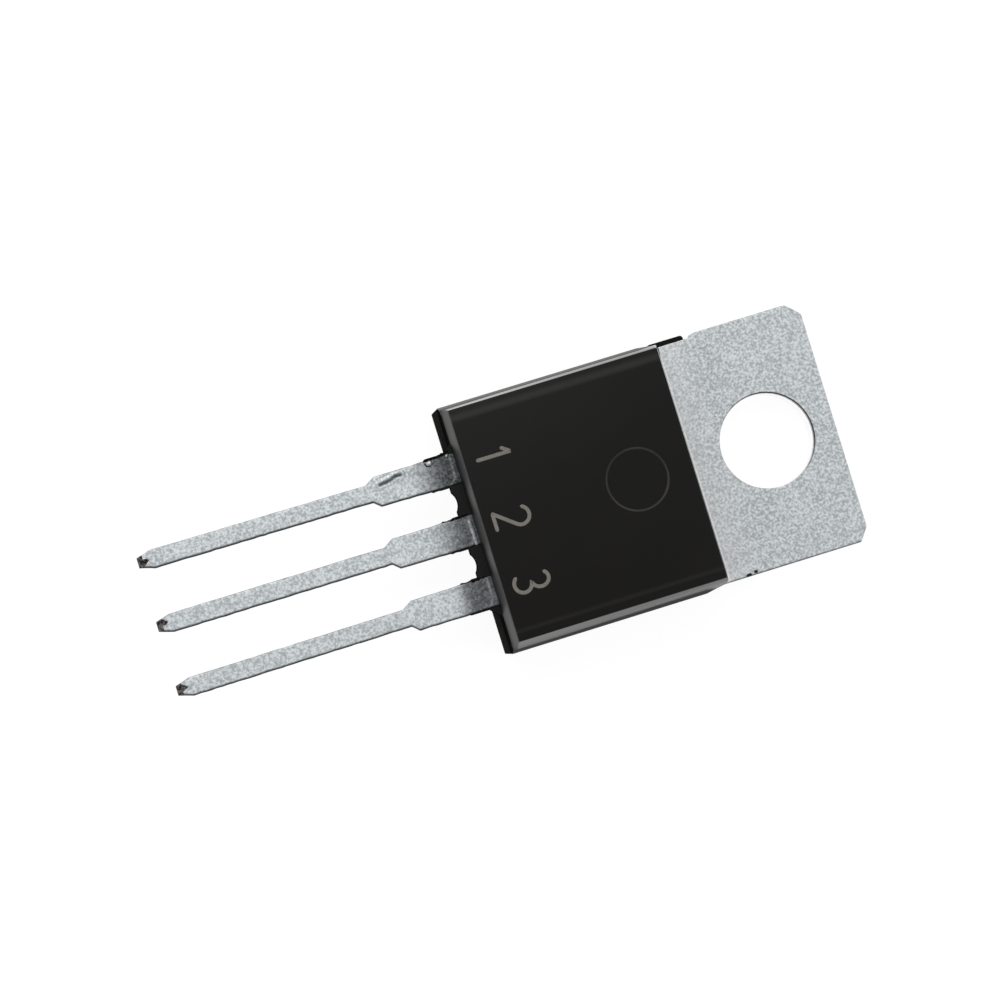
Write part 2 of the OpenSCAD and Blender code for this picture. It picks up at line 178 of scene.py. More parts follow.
# Sockets of the Mix node, for colours and for single values; a Math node's operands are 0, 1 and 2
FACTOR, COLOUR_A, COLOUR_B, MIXED = 0, 6, 7, 2
VALUE_A, VALUE_B = 2, 3


def per_mm(size):
    """The scale at which a pattern on coordinates in metres repeats about every size mm."""
    return 1 / (size * MM)


# Materials

# The moulding's finish, in mm: painted reflection bands as places across with their paleness, the
# depths of the marked face's and of the end wall's finish, and half the widths of the painted
# highlights on the parting line and the pin mark's rim
BAND_REACH = 4.8
REFLECTION_BANDS = ((-4.46, 0.0), (-4.34, 0.45), (-4.2, 0.0), (4.2, 0.0), (4.33, 0.8), (4.44, 0.9), (4.6, 0.15))
FACE_DEPTH, END_DEPTH = 0.06, 0.03
PARTING_HALF_W, RIM_HALF_W = 0.065, 0.04
END_SHEEN_START_Z, END_SHEEN_FULL_Z = 3.0, 4.3
POLISH_REACH = 4.5


def moulding_compound():
    """Transfer-moulded epoxy: near black, satin on the eroded front and smoother on the drafted walls, with
    painted reflections and highlights.
    """
    material, tree, shader, place = start_material("epoxy_moulding_compound_satin")
    axes = add(tree, "ShaderNodeSeparateXYZ", {0: place}).outputs
    # Broad clouds vary the tone, and a fine grit the gloss and the bump
    cloud = add(tree, "ShaderNodeTexNoise", {"Vector": place, "Scale": per_mm(2.4), "Detail": 3.0})
    grit = add(tree, "ShaderNodeTexNoise", {"Vector": place, "Scale": per_mm(0.11), "Detail": 2.0})
    tone = add(tree, "ShaderNodeMix", {FACTOR: cloud.outputs["Fac"], COLOUR_A: linear("#0a0908"),
        COLOUR_B: linear("#0f0d0b")}, data_type="RGBA")
    # Painted reflection: a paler band inside each long edge of the marked face, paler on the far side
    across = add(tree, "ShaderNodeMapRange", {"Value": axes["Y"], "From Min": -BAND_REACH * MM,
        "From Max": BAND_REACH * MM})
    reflection_band = add(tree, "ShaderNodeValToRGB", {0: across.outputs[0]})
    stops = reflection_band.color_ramp.elements
    stops[1].color = (0, 0, 0, 1)
    for y, pale in REFLECTION_BANDS:
        stops.new((y + BAND_REACH) / (2 * BAND_REACH)).color = (pale, pale, pale, 1)
    top = add(tree, "ShaderNodeMath", {0: axes["Z"], 1: (FACE_TOP - FACE_DEPTH) * MM},
        operation="GREATER_THAN")
    share = add(tree, "ShaderNodeMath", {0: reflection_band.outputs[0], 1: top.outputs[0]}, operation="MULTIPLY")
    banded = add(tree, "ShaderNodeMix", {FACTOR: share.outputs[0], COLOUR_A: tone.outputs[MIXED],
        COLOUR_B: linear("#282827")}, data_type="RGBA")
    # Painted highlight on the parting ledge round the sides, paler on the far side than on the near one
    line = add(tree, "ShaderNodeMath", {0: axes["Z"], 1: LEAD_TOP * MM, 2: PARTING_HALF_W * MM},
        operation="COMPARE")
    ledge_highlight_and_foot_blotches = add(tree, "ShaderNodeValToRGB", {0: across.outputs[0]})
    ledge_highlight_and_foot_blotches.color_ramp.interpolation = "CONSTANT"
    ends = ledge_highlight_and_foot_blotches.color_ramp.elements
    ends[0].color = linear("#4c4c4b")
    ends[1].color = linear("#828280")
    ends[1].position = 0.99
    ends.new(0.01).color = linear("#0d0d0c")
    parted = add(tree, "ShaderNodeMix", {FACTOR: line.outputs[0], COLOUR_A: banded.outputs[MIXED],
        COLOUR_B: ledge_highlight_and_foot_blotches.outputs[0]}, data_type="RGBA")
    # Painted highlight on the pin mark's rim, in patches
    level = add(tree, "ShaderNodeVectorMath", {0: place, 1: (1, 1, 0)}, operation="MULTIPLY")
    away = add(tree, "ShaderNodeVectorMath", {0: level.outputs[0], 1: (MARK_X * MM, 0, 0)},
        operation="DISTANCE")
    rim_highlight_and_blotched_foot = add(tree, "ShaderNodeMath", {0: away.outputs["Value"], 1: MARK_R * MM, 2: RIM_HALF_W * MM},
        operation="COMPARE")
    patchy = add(tree, "ShaderNodeMath", {0: rim_highlight_and_blotched_foot.outputs[0], 1: cloud.outputs["Fac"]},
        operation="MULTIPLY")
    ringed = add(tree, "ShaderNodeMix", {FACTOR: patchy.outputs[0], COLOUR_A: parted.outputs[MIXED],
        COLOUR_B: linear("#4a4a48")}, data_type="RGBA")
    # The wall over the leads is matter, and a painted reflection makes it paler toward its top
    end = add(tree, "ShaderNodeMath", {0: axes["X"], 1: (FACE_START_X + END_DEPTH) * MM},
        operation="LESS_THAN")
    upward = add(tree, "ShaderNodeMapRange", {"Value": axes["Z"], "From Min": END_SHEEN_START_Z * MM,
        "From Max": END_SHEEN_FULL_Z * MM, "To Max": 0.9}, interpolation_type="SMOOTHSTEP")
    wall_reflection = add(tree, "ShaderNodeMath", {0: end.outputs[0], 1: upward.outputs[0]},
        operation="MULTIPLY")
    colour = add(tree, "ShaderNodeMix", {FACTOR: wall_reflection.outputs[0], COLOUR_A: ringed.outputs[MIXED],
        COLOUR_B: linear("#4b4b4a")}, data_type="RGBA")
    # The face is satin, and the walls are smoother, the far one the most
    satin = add(tree, "ShaderNodeMapRange", {"Value": grit.outputs["Fac"], "From Min": 0.3,
        "From Max": 0.7, "To Min": 0.34, "To Max": 0.44})
    polish = add(tree, "ShaderNodeMapRange", {"Value": axes["Y"], "From Min": -POLISH_REACH * MM,
        "From Max": POLISH_REACH * MM, "To Min": 0.3, "To Max": 0.1})
    wall = add(tree, "ShaderNodeMix", {FACTOR: end.outputs[0], VALUE_A: polish.outputs[0], VALUE_B: 0.46})
    rough = add(tree, "ShaderNodeMix", {FACTOR: top.outputs[0], VALUE_A: wall.outputs[0],
        VALUE_B: satin.outputs[0]})
    bump = add(tree, "ShaderNodeBump", {"Height": grit.outputs["Fac"], "Distance": 0.003 * MM,
        "Strength": 0.4})
    feed(tree, shader, {"Base Color": colour.outputs[MIXED], "Roughness": rough.outputs[0],
        "Normal": bump.outputs[0], "Specular IOR Level": 0.17})
    return material


# Heights at which the torn lead end is scuffed and at which its foot turns paler in blotches, start and
# full, in mm
SCUFF_START_Z, SCUFF_FULL_Z = 2.7, 2.3
FOOT_START_Z, FOOT_FULL_Z = 1.5, 0.3


def dull_compound():
    """The same epoxy at the lead end and in the flash: torn and porous, so it gives back no light."""
    material, tree, shader, place = start_material("epoxy_moulding_compound_torn")
    axes = add(tree, "ShaderNodeSeparateXYZ", {0: place}).outputs
    pores = add(tree, "ShaderNodeTexNoise", {"Vector": place, "Scale": per_mm(0.16), "Detail": 3.0})
    # The wall below the leads is scuffed a little paler than the webs between them
    low = add(tree, "ShaderNodeMapRange", {"Value": axes["Z"], "From Min": SCUFF_START_Z * MM,
        "From Max": SCUFF_FULL_Z * MM}, interpolation_type="SMOOTHSTEP")
    scuff = add(tree, "ShaderNodeMath", {0: low.outputs[0], 1: pores.outputs["Fac"]},
        operation="MULTIPLY")
    tone = add(tree, "ShaderNodeMix", {FACTOR: pores.outputs["Fac"], COLOUR_A: linear("#080808"),
        COLOUR_B: linear("#191918")}, data_type="RGBA")
    colour = add(tree, "ShaderNodeMix", {FACTOR: scuff.outputs[0], COLOUR_A: tone.outputs[MIXED],
        COLOUR_B: linear("#3d3d3c")}, data_type="RGBA")
    # Toward the bottom it turns paler in blotches
    foot = add(tree, "ShaderNodeMapRange", {"Value": axes["Z"], "From Min": FOOT_START_Z * MM,
        "From Max": FOOT_FULL_Z * MM}, interpolation_type="SMOOTHSTEP")
    blotch = add(tree, "ShaderNodeTexNoise", {"Vector": place, "Scale": per_mm(0.45), "Detail": 2.0})
    blotches = add(tree, "ShaderNodeMapRange", {"Value": blotch.outputs["Fac"], "From Min": 0.45,
        "From Max": 0.62})
    ledge_highlight_and_foot_blotches = add(tree, "ShaderNodeMath", {0: foot.outputs[0], 1: blotches.outputs[0]},
        operation="MULTIPLY")
    rim_highlight_and_blotched_foot = add(tree, "ShaderNodeMix", {FACTOR: ledge_highlight_and_foot_blotches.outputs[0], COLOUR_A: colour.outputs[MIXED],
        COLOUR_B: linear("#3f3f3e")}, data_type="RGBA")
    bump = add(tree, "ShaderNodeBump", {"Height": pores.outputs["Fac"], "Distance": 0.02 * MM,
        "Strength": 0.5})
    feed(tree, shader, {"Base Color": rim_highlight_and_blotched_foot.outputs[MIXED], "Normal": bump.outputs[0],
        "Roughness": 0.8, "Specular IOR Level": 0.0})
    return material


# The tin's finish, in mm: how far from the tab's near side the painted shade on the stamped edge is
# full and ends, its depth, the hole's rim of painted shade, the skin of its wall, and the painted
# highlight line and glow by the tab wall
EDGE_DARK, EDGE_END, EDGE_DEPTH = 0.03, 0.09, 0.07
RIM_W, RIM_DEPTH = 0.055, 0.24
RIM_START, RIM_FULL = -0.9, 1.3
BORE_SKIN = 0.012
LINE_FULL, LINE_END, GLOW_END = 0.03, 0.11, 1.6
TAB_ONLY_X = -5


def tin_plate():
    """Matte electroplated tin on copper: pale grey, mottled by its crystals, darker by the resin, with
    painted shade and highlights.
    """
    material, tree, shader, place = start_material("matte_tin_plate_on_copper")
    axes = add(tree, "ShaderNodeSeparateXYZ", {0: place}).outputs
    grain = add(tree, "ShaderNodeTexNoise", {"Vector": place, "Scale": per_mm(0.1), "Detail": 1.0,
        "Roughness": 0.6})
    cloud = add(tree, "ShaderNodeTexNoise", {"Vector": place, "Scale": per_mm(0.9), "Detail": 2.0})
    # The fine grain counts for most, with a little of the cloud
    speckle = add(tree, "ShaderNodeMath", {0: grain.outputs["Fac"], 1: 0.86}, operation="MULTIPLY")
    both = add(tree, "ShaderNodeMath", {0: cloud.outputs["Fac"], 1: 0.14, 2: speckle.outputs[0]},
        operation="MULTIPLY_ADD")
    spread = add(tree, "ShaderNodeMapRange", {"Value": both.outputs[0], "From Min": 0.36,
        "From Max": 0.64})
    mottle = add(tree, "ShaderNodeMix", {FACTOR: spread.outputs[0], COLOUR_A: linear("#adb3b6"),
        COLOUR_B: linear("#dde1e3")}, data_type="RGBA")
    # Resin that bled on to the leads next to the body, in patches with grain of their own
    bleed = add(tree, "ShaderNodeAttribute", attribute_name="resin_bleed")
    patchy = add(tree, "ShaderNodeMapRange", {"Value": both.outputs[0], "From Min": 0.36,
        "From Max": 0.64, "To Min": 1.04, "To Max": 0.91})
    stain = add(tree, "ShaderNodeMath", {0: bleed.outputs["Fac"], 1: patchy.outputs[0]},
        operation="MULTIPLY", use_clamp=True)
    stained = add(tree, "ShaderNodeMix", {FACTOR: stain.outputs[0], COLOUR_A: mottle.outputs[MIXED],
        COLOUR_B: linear("#2e3031")}, data_type="RGBA")
    # Painted shade on the stamped edges, darkest on the near side: the leads carry it as an attribute, the
    # tab has it along its near side
    edge_shading = add(tree, "ShaderNodeAttribute", attribute_name="edge_shade")
    near = add(tree, "ShaderNodeMapRange", {"Value": axes["Y"], "From Min": (EDGE_END - TAB_HALF_W) * MM,
        "From Max": (EDGE_DARK - TAB_HALF_W) * MM, "To Max": 0.62}, interpolation_type="SMOOTHSTEP")
    # Painted shade: the hole's rim turns dark toward the tab's free end and the far side
    level = add(tree, "ShaderNodeVectorMath", {0: place, 1: (1, 1, 0)}, operation="MULTIPLY")
    radius = add(tree, "ShaderNodeVectorMath", {0: level.outputs[0]}, operation="LENGTH")
    toward = add(tree, "ShaderNodeVectorMath", {0: place, 1: (0.8, 0.6, 0)}, operation="DOT_PRODUCT")
    turned = add(tree, "ShaderNodeMapRange", {"Value": toward.outputs["Value"], "From Min": RIM_START * MM,
        "From Max": RIM_FULL * MM, "To Max": 0.9})
    ring = add(tree, "ShaderNodeMath", {0: radius.outputs["Value"], 1: (HOLE_R + RIM_W) * MM},
        operation="LESS_THAN")
    upper = add(tree, "ShaderNodeMath", {0: axes["Z"], 1: (TAB_TOP - RIM_DEPTH) * MM},
        operation="GREATER_THAN")
    rim = add(tree, "ShaderNodeMath", {0: ring.outputs[0], 1: upper.outputs[0]}, operation="MULTIPLY")
    rim_shade = add(tree, "ShaderNodeMath", {0: rim.outputs[0], 1: turned.outputs[0]},
        operation="MULTIPLY")
    brow = add(tree, "ShaderNodeMath", {0: axes["Z"], 1: (TAB_TOP - EDGE_DEPTH) * MM},
        operation="GREATER_THAN")
    near_brow = add(tree, "ShaderNodeMath", {0: near.outputs[0], 1: brow.outputs[0]},
        operation="MULTIPLY")
    tab_edge = add(tree, "ShaderNodeMath", {0: near_brow.outputs[0], 1: rim_shade.outputs[0]},
        operation="MAXIMUM")
    edge = add(tree, "ShaderNodeMath", {0: tab_edge.outputs[0], 1: edge_shading.outputs["Fac"]},
        operation="MAXIMUM")
    # A painted highlight lines the tab along the body, with a painted glow beyond it, and the punch
    # burnished the hole's wall
    line = add(tree, "ShaderNodeMapRange", {"Value": axes["X"], "From Min": (TAB_WALL_X + LINE_END) * MM,
        "From Max": (TAB_WALL_X + LINE_FULL) * MM, "To Max": 0.8}, interpolation_type="SMOOTHSTEP")
    glow = add(tree, "ShaderNodeMapRange", {"Value": axes["X"], "From Min": (TAB_WALL_X + GLOW_END) * MM,
        "From Max": TAB_WALL_X * MM, "To Max": 0.3})
    wall_highlight = add(tree, "ShaderNodeMath", {0: line.outputs[0], 1: glow.outputs[0]}, operation="MAXIMUM")
    on_tab = add(tree, "ShaderNodeMath", {0: axes["X"], 1: TAB_ONLY_X * MM}, operation="GREATER_THAN")
    tab_wall_highlight = add(tree, "ShaderNodeMath", {0: wall_highlight.outputs[0], 1: on_tab.outputs[0]},
        operation="MULTIPLY")
    bore = add(tree, "ShaderNodeMath", {0: radius.outputs["Value"], 1: (HOLE_R + BORE_SKIN) * MM},
        operation="LESS_THAN")
    bore_and_wall_highlight = add(tree, "ShaderNodeMath", {0: tab_wall_highlight.outputs[0], 1: bore.outputs[0]},
        operation="MAXIMUM")
    bright = add(tree, "ShaderNodeMix", {FACTOR: bore_and_wall_highlight.outputs[0], COLOUR_A: stained.outputs[MIXED],
        COLOUR_B: linear("#fafafa")}, data_type="RGBA")
    colour = add(tree, "ShaderNodeMix", {FACTOR: edge.outputs[0], COLOUR_A: bright.outputs[MIXED],
        COLOUR_B: linear("#2a2b2c")}, data_type="RGBA")
    matt = add(tree, "ShaderNodeMapRange", {"Value": grain.outputs["Fac"], "From Min": 0.3,
        "From Max": 0.7, "To Min": 0.62, "To Max": 0.52})
    rough = add(tree, "ShaderNodeMix", {FACTOR: bore.outputs[0], VALUE_A: matt.outputs[0], VALUE_B: 0.16})
    bump = add(tree, "ShaderNodeBump", {"Height": grain.outputs["Fac"], "Distance": 0.012 * MM,
        "Strength": 0.5})
    feed(tree, shader, {"Base Color": colour.outputs[MIXED], "Roughness": rough.outputs[0],
        "Normal": bump.outputs[0], "Metallic": 1.0})
    return material


def sheared_copper():
    """Copper that the lead cutter sheared and the store tarnished: nearly black, torn and uneven."""
    material, tree, shader, place = start_material("sheared_copper_tarnished")
    tear = add(tree, "ShaderNodeTexNoise", {"Vector": place, "Scale": per_mm(0.11), "Detail": 3.0})
    patch = add(tree, "ShaderNodeMapRange", {"Value": tear.outputs["Fac"], "From Min": 0.42,
        "From Max": 0.62})
    colour = add(tree, "ShaderNodeMix", {FACTOR: patch.outputs[0], COLOUR_A: linear("#0e0d0d"),
        COLOUR_B: linear("#75716f")}, data_type="RGBA")
    bump = add(tree, "ShaderNodeBump", {"Height": tear.outputs["Fac"], "Distance": 0.03 * MM,
        "Strength": 0.6})
    feed(tree, shader, {"Base Color": colour.outputs[MIXED], "Normal": bump.outputs[0],
        "Metallic": 0.6, "Roughness": 0.6})
    return material


def laser_mark():
    """Epoxy that a laser has foamed: warm grey and matt, with the faint steps of its pulses."""
    material, tree, shader, place = start_material("laser_foamed_epoxy")
    pulses = add(tree, "ShaderNodeTexNoise", {"Vector": place, "Scale": per_mm(0.07), "Detail": 1.0})
    colour = add(tree, "ShaderNodeMix", {FACTOR: pulses.outputs["Fac"], COLOUR_A: linear("#625f5a"),
        COLOUR_B: linear("#827e77")}, data_type="RGBA")
    bump = add(tree, "ShaderNodeBump", {"Height": pulses.outputs["Fac"], "Distance": 0.006 * MM,
        "Strength": 0.5})
    feed(tree, shader, {"Base Color": colour.outputs[MIXED], "Normal": bump.outputs[0],
        "Roughness": 0.8, "Specular IOR Level": 0.25})
    return material


def inner_material(name, dark, pale, grain_mm, metallic, roughness):
    """A finish for a piece sealed in the body: two near tones, mixed by its own grain."""
    material, tree, shader, place = start_material(name)
    grain = add(tree, "ShaderNodeTexNoise", {"Vector": place, "Scale": per_mm(grain_mm), "Detail": 2.0})
    colour = add(tree, "ShaderNodeMix", {FACTOR: grain.outputs["Fac"], COLOUR_A: linear(dark),
        COLOUR_B: linear(pale)}, data_type="RGBA")
    feed(tree, shader, {"Base Color": colour.outputs[MIXED], "Metallic": metallic,
        "Roughness": roughness})
    return material


# Pieces that carry a CAD node's own form

def is_sharp(edge):
    """True for an outward edge between two faces that meet at more than ROUNDED_ANGLE."""
    return (len(edge.link_faces) == 2 and edge.is_convex
        and edge.calc_face_angle(0) > math.radians(ROUNDED_ANGLE))


def dressed_copy(name, node, materials, radius, rounds, face_material=None, outer=None):
    """A merged copy of a CAD node with its flat faces whole and the edges that rounds() picks rounded.

    rounds(edge, middle) and face_material(centre) take places in mm; the second gives the number of
    the material of the face with that centre. With outer, a mesh of a lead's outer part, the copy
    ends at LEAD_CUT_X, inside the body, and that mesh goes on from there.
    """
    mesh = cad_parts[node].data.copy()
    mesh.name = name
    mesh.materials.clear()
    for material in materials:
        mesh.materials.append(material)
    work = bmesh.new()
    work.from_mesh(mesh)
    bmesh.ops.remove_doubles(work, verts=work.verts, dist=MERGED * MM)
    if outer:
        bmesh.ops.bisect_plane(work, geom=work.verts[:] + work.edges[:] + work.faces[:],
            plane_co=(LEAD_CUT_X * MM, 0, 0), plane_no=(1, 0, 0), clear_inner=True)
        bmesh.ops.holes_fill(work, edges=[edge for edge in work.edges if edge.is_boundary])
    bmesh.ops.dissolve_limit(work, angle_limit=math.radians(FLAT_ANGLE), verts=work.verts,
        edges=work.edges)
    weight = work.edges.layers.float.new("bevel_weight_edge")
    for edge in work.edges:
        middle = (edge.verts[0].co + edge.verts[1].co) / (2 * MM)
        edge[weight] = 1.0 if is_sharp(edge) and rounds(edge, middle) else 0.0
        edge.smooth = edge.calc_face_angle(0) < math.radians(SHARP_ANGLE)
    for face in work.faces:
        face.smooth = True
        face.material_index = face_material(face.calc_center_median() / MM) if face_material else 0
    if outer:
        work.from_mesh(outer)
    work.to_mesh(mesh)
    work.free()
    if "custom_normal" in mesh.attributes:
        mesh.attributes.remove(mesh.attributes["custom_normal"])
    made = show(name, mesh)
    bevel = made.modifiers.new("stamped_or_moulded_edge", "BEVEL")
    bevel.limit_method = "WEIGHT"
    bevel.width = radius * MM
    bevel.segments = 3
    bevel.use_clamp_overlap = False
    bevel.harden_normals = True
    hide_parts(node)
    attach(made, "root")


def metal_edge(edge, middle):
    """Long outer edges of the metal beyond the body's tab wall."""
    return edge.calc_length() > METAL_EDGE_L * MM and middle.x > TAB_WALL_X - TAB_EDGE_BACK


def body_edge(edge, middle):
    """Long edges of the moulding, but not its bottom, nor those by the leads or beside the tab."""
    by_leads = middle.x < LEAD_WALL_X + AT_WALL and abs(middle.y) < PITCH + LEAD_WIDE
    beside_tab = middle.x > TAB_WALL_X - AT_WALL
    below_face = middle.z <= FACE_TOP - INNER_DEPTH
    inner = abs(middle.y) < INNER_HALF_W and below_face and middle.x > LEAD_WALL_X + INNER_BACK
    left_out = by_leads or beside_tab or inner or middle.z < AT_WALL
    return edge.calc_length() > BODY_EDGE_L * MM and not left_out


def torn_or_smooth(centre):
    """1 for the torn lower half of the lead end with its webs, 0 elsewhere."""
    return int(centre.x < FACE_START_X + AT_WALL and centre.z < LEAD_TOP - TORN_DEPTH)


# Pieces worked out as surfaces

def tube_mesh(name, tubes):
    """One closed mesh from tubes, each an array of rings by points by 3 in mm, with a pole at both ends."""
    points, faces, start = [], [], 0
    for rings in tubes:
        count, around = rings.shape[:2]
        index = start + np.arange(count * around).reshape(count, around)
        turned = np.roll(index, -1, axis=1)
        walls = np.stack([index[:-1], turned[:-1], turned[1:], index[1:]], axis=-1).reshape(-1, 4)
        first, last = start + count * around, start + count * around + 1
        bottom = np.stack([turned[0], index[0], np.full(around, first)], axis=-1)
        top = np.stack([index[-1], turned[-1], np.full(around, last)], axis=-1)
        points += [rings.reshape(-1, 3), rings[0].mean(axis=0)[None], rings[-1].mean(axis=0)[None]]
        faces += walls.tolist() + bottom.tolist() + top.tolist()
        start = last + 1
    mesh = bpy.data.meshes.new(name)
    mesh.from_pydata((np.concatenate(points) * MM).tolist(), [], faces)
    mesh.shade_smooth()
    return mesh


def new_piece(name, mesh, material):
    """Puts a finished mesh into the scene as a piece that rides on the part."""
    mesh.materials.append(material)
    made = show(name, mesh)
    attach(made, "root")


def section(across):
    """Points round a lead's section, from its near top corner over the top and back underneath.

    Four numbers each: the place across between the corner centres (-1 near, 1 far), the cosine on a
    corner, the place up between the corner centres (0 or 1) and the sine on a corner.
    """
    def stretch(w, turn, v):
        w, c, v, s = np.broadcast_arrays(w, np.cos(np.radians(turn)), v, np.sin(np.radians(turn)))
        return np.stack([w, c, v, s], axis=1)
    return np.concatenate([
        stretch(np.linspace(-1, 1, across), 90.0, 1.0),
        stretch(1.0, np.linspace(75, 0, 6), 1.0),
        stretch(1.0, np.zeros(2), np.array([0.66, 0.33])),
        stretch(1.0, np.linspace(0, -90, 5), 0.0),
        stretch(np.linspace(0.7, -0.7, 6), -90.0, 0.0),
        stretch(-1.0, np.linspace(-90, -180, 5), 0.0),
        stretch(-1.0, np.full(2, 180.0), np.array([0.33, 0.66])),
        stretch(-1.0, np.linspace(180, 105, 6), 1.0)])


def wavy(x, size, step, seed):
    """Small seeded unevenness along x, up to about size, with a new value every step mm."""
    knots = np.arange(x.min() - step, x.max() + 2 * step, step)
    return np.interp(x, knots, np.random.default_rng(seed).uniform(-size, size, len(knots)))


def bell(distance, spread):
    """A bell curve of a distance: 1 at none, and e to the minus square of distance over spread."""
    return np.exp(-(distance / spread) ** 2)


def lead_stations(dented):
    """Places along a lead from the body to its tip, closer together where its form changes."""
    parts = [np.linspace(LEAD_CUT_X, LEAD_WALL_X - ROOT_REACH, 50),
        np.arange(WIDE_X - SLOPE_BEFORE, WIDE_X + SLOPE_AFTER, SLOPE_STEP),
        np.arange(TIP_X, TIP_X + TIP_REACH, FINE_STEP), np.linspace(TIP_X, LEAD_CUT_X, 150)]
    if dented:
        parts.append(np.arange(DENT_START_X, DENT_END_X, FINE_STEP))
    return np.unique(np.round(np.concatenate(parts), 4))[::-1]


def half_widths(x, seed):
    """Half a lead's width to its far side and to its near side, along x.

    Each goes from the tip's to the slim part's over TIP_TAPER and from there to the wide part's over
    SLOPE_FAR or SLOPE_NEAR before WIDE_X, with a little unevenness. By the body both go WEB_GRIP
    into the webs, so that no two faces lie in one plane.
    """
    slim, wide = LEAD_SLIM / 2, LEAD_WIDE / 2
    grip = np.interp(x, [GRIP_END_X, GRIP_FULL_X], [0, WEB_GRIP])
    halves = []
    for slope, size, step, draw in ((SLOPE_FAR, 0.008, 0.3, seed), (SLOPE_NEAR, 0.01, 0.22, seed + 10)):
        even = np.interp(x, [TIP_X, TIP_X + TIP_TAPER, WIDE_X - slope, WIDE_X],
            [TIP_W / 2, slim, slim, wide])
        halves.append(even + wavy(x, size, step, draw) + grip)
    return halves


def tip_height(x, along, y, tip_y, tear, seed):
    """The height that the cutter left of a lead, over its points along and across.

    It is the lowest of the flat top, the sheared slope and a ragged V. The slope falls TIP_SLOPE_H
    over TIP_SLOPE_L. The V lies tear beside the tip's middle, falls at TEAR_ANGLE and is TEAR_R wide
    to each side, where its walls rise by the way off its middle and by its square.
    """
    sheared = LEAD_TOP - np.clip(TIP_X + TIP_SLOPE_L - along, 0, None) * TIP_SLOPE_H / TIP_SLOPE_L
    ragged = wavy(x, size=0.03, step=0.07, seed=seed + 20)[:, None]
    off = np.clip(np.abs(y - tip_y - tear - ragged) / TEAR_R, 0, 1)
    angle = math.radians(TEAR_ANGLE)
    groove = LEAD_TOP - (TIP_X + TEAR_L - along) * math.tan(angle)
    groove = groove + TEAR_R * off * (TEAR_RISE + TEAR_BOWL * off) / math.cos(angle)
    return np.minimum(sheared, np.where(off < 1, groove, LEAD_TOP))


def dented_top(along, y):
    """How far the dent moves the input lead's top, and how much painted shade its groove gets.

    The groove and the lip raised beside it fall off as bell curves of the distance from the route.
    """
    route = np.array(DENT)
    gap = np.full(y.shape, np.inf)
    for start, end in zip(route[:-1], route[1:]):
        line = end - start
        way = ((along - start[0]) * line[0] + (y - start[1]) * line[1]) / line.dot(line)
        way = np.clip(way, 0, 1)
        gap = np.minimum(gap, np.hypot(along - start[0] - way * line[0], y - start[1] - way * line[1]))
    lip = np.where(y > np.interp(along, route[:, 0], route[:, 1]), LIP_FAR, LIP_NEAR)
    pressed = lip * bell(gap - LIP_AWAY, LIP_SPREAD) - DENT_DEPTH * bell(gap, DENT_SPREAD)
    return pressed, DENT_SHADE * bell(gap, DENT_SHADE_SPREAD)


def resin_share(along, y, out, off_centre, bleed):
    """How much resin has bled over a lead, with out its way from the body.

    bleed gives how far out it starts to show, where it is at its fullest, and how full that is: it
    rises between them by a smooth step. A painted highlight thins the resin in a line along the root,
    which turns away at the near corner.
    """
    start, full, most = bleed
    rise = np.clip((start - out) / (start - full), 0, 1)
    resin = (most * rise ** 2 * (3 - 2 * rise))[:, None] + 0 * y
    turned = np.clip((off_centre - TURN_FROM) / TURN_OVER, 0, 1)
    return resin * (1 - ROOT_HIGHLIGHT * bell(along - ROOT_X + TURN_BY * turned ** 2, ROOT_SPREAD))


def bare_faces(mesh, bare):
    """Gives the second material to faces with two or more bare points, and to the cap at the last pole."""
    corners = np.empty(len(mesh.loops), dtype=np.int32)
    mesh.loops.foreach_get("vertex_index", corners)
    firsts = np.empty(len(mesh.polygons), dtype=np.int32)
    mesh.polygons.foreach_get("loop_start", firsts)
    chosen = np.add.reduceat(bare[corners].astype(np.int32), firsts) >= 2
    chosen |= np.maximum.reduceat(corners, firsts) == len(bare) - 1
    mesh.polygons.foreach_set("material_index", chosen.astype(np.int32))


